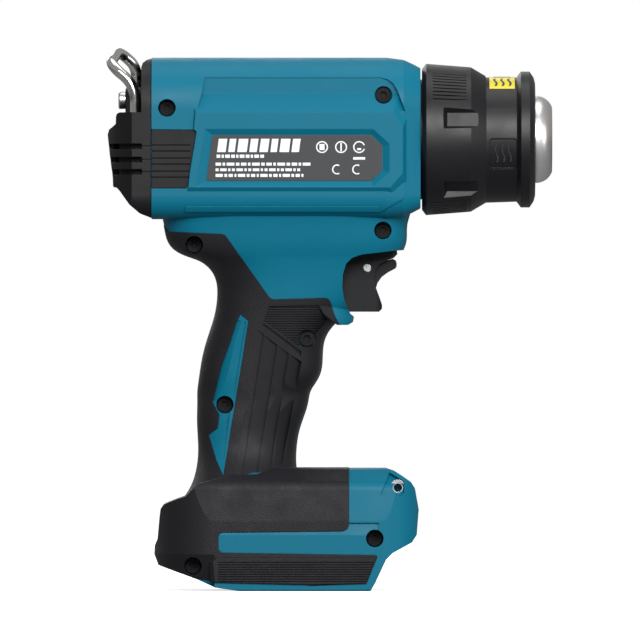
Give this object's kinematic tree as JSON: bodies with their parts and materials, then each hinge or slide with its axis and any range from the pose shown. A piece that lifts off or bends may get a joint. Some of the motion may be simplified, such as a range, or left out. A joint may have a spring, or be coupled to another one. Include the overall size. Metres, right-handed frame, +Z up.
{
  "type": "heat gun",
  "caption": "Cordless heat gun: pistol-grip housing with overmoulded handle, battery foot, steel nozzle in a twist-off heat cover, trigger, dial and hanging ring.",
  "frame": {"origin": "on the floor under the middle of the tool's outer box, with the battery foot resting on the floor", "axes": "+X along the air stream out of the nozzle, +Y to the tool's left, +Z up"},
  "size_m": [0.1782, 0.078, 0.217],
  "materials": {
    "shell_plastic": "fine moulded satin texture",
    "grip_rubber": "fine leather-like texture",
    "dark_plastic": "fine moulded texture",
    "heat_plastic": "satin, heat resistant",
    "label_film": null,
    "sticker_film": null,
    "chrome_wire": "bright plated wire",
    "zinc_screw": "bright zinc",
    "black_screw": "black oxide",
    "brass_insert": "turned brass",
    "polished_steel": "polished stainless steel",
    "mica_sheet": "mica sheet",
    "coil_wire": "drawn resistance wire",
    "inner_plastic": "plain moulding",
    "board_laminate": "coated board",
    "trigger_plastic": "smooth satin",
    "contact_metal": "plated blades",
    "red_lead": "silicone sleeve",
    "black_lead": "silicone sleeve"
  },
  "bodies": {
    "housing": {"battery_contacts": "contact_metal", "bayonet_ring": "heat_plastic", "bracket_screw": "zinc_screw", "controller_board": "board_laminate", "dial_switch": "inner_plastic", "fan_shroud": "inner_plastic", "grip_left": "grip_rubber", "grip_right": "grip_rubber", "heater_former": "mica_sheet", "heater_sleeve": "mica_sheet", "heating_coil": "coil_wire", "hook_insert_left": "zinc_screw", "hook_insert_right": "zinc_screw", "housing_left": "shell_plastic", "housing_right": "shell_plastic", "housing_screws": "black_screw", "motor_bearings": "brass_insert", "motor_can": "zinc_screw", "nozzle_tube": "polished_steel", "power_lead_negative": "black_lead", "power_lead_positive": "red_lead", "rating_label_left": "label_film", "rating_label_right": "label_film", "rear_cover": "dark_plastic", "ring_bracket": "dark_plastic", "switch_body": "inner_plastic", "terminal_block": "inner_plastic", "vent_panel_left": "dark_plastic", "vent_panel_right": "dark_plastic"},
    "trigger": {"trigger": "trigger_plastic", "lever_pin": "zinc_screw"},
    "lock_lever": {"lock_lever": "trigger_plastic"},
    "hanging_ring": {"hanging_ring": "chrome_wire"},
    "dial": {"temperature_dial": "dark_plastic"},
    "nozzle_cover": {"nozzle_cover": "heat_plastic", "heat_sticker": "sticker_film"},
    "blower": {"fan": "inner_plastic", "motor_shaft": "zinc_screw", "armature": "coil_wire"}
  },
  "joints": [
    {"name": "trigger_pull", "type": "slide", "parent": "housing", "child": "trigger", "axis": [-0.9928, 0, -0.1197], "range_m": [0, 0.006], "stiffness_N_per_m": 900, "springref_m": -0.002},
    {"name": "lock_lever_turn", "type": "hinge", "parent": "trigger", "child": "lock_lever", "pos_m": [0.0155, 0, 0.1288], "axis": [0, 1, 0], "range_deg": [0, 12], "stiffness_Nm_per_rad": 0.05, "springref_deg": -17.19},
    {"name": "ring_swing", "type": "hinge", "parent": "housing", "child": "hanging_ring", "pos_m": [-0.0771, 0, 0.1874], "axis": [0, -1, 0], "range_deg": [0, 90]},
    {"name": "dial_turn", "type": "hinge", "parent": "housing", "child": "dial", "pos_m": [-0.083, 0, 0.17], "axis": [-1, 0, 0], "range_deg": [0, 270]},
    {"name": "cover_twist", "type": "hinge", "parent": "housing", "child": "nozzle_cover", "pos_m": [0.06, 0, 0.1802], "axis": [1, 0, 0], "range_deg": [0, 30]},
    {"name": "blower_spin", "type": "hinge", "parent": "housing", "child": "blower", "pos_m": [-0.035, 0, 0.1802], "axis": [1, 0, 0], "continuous": true}
  ]
}
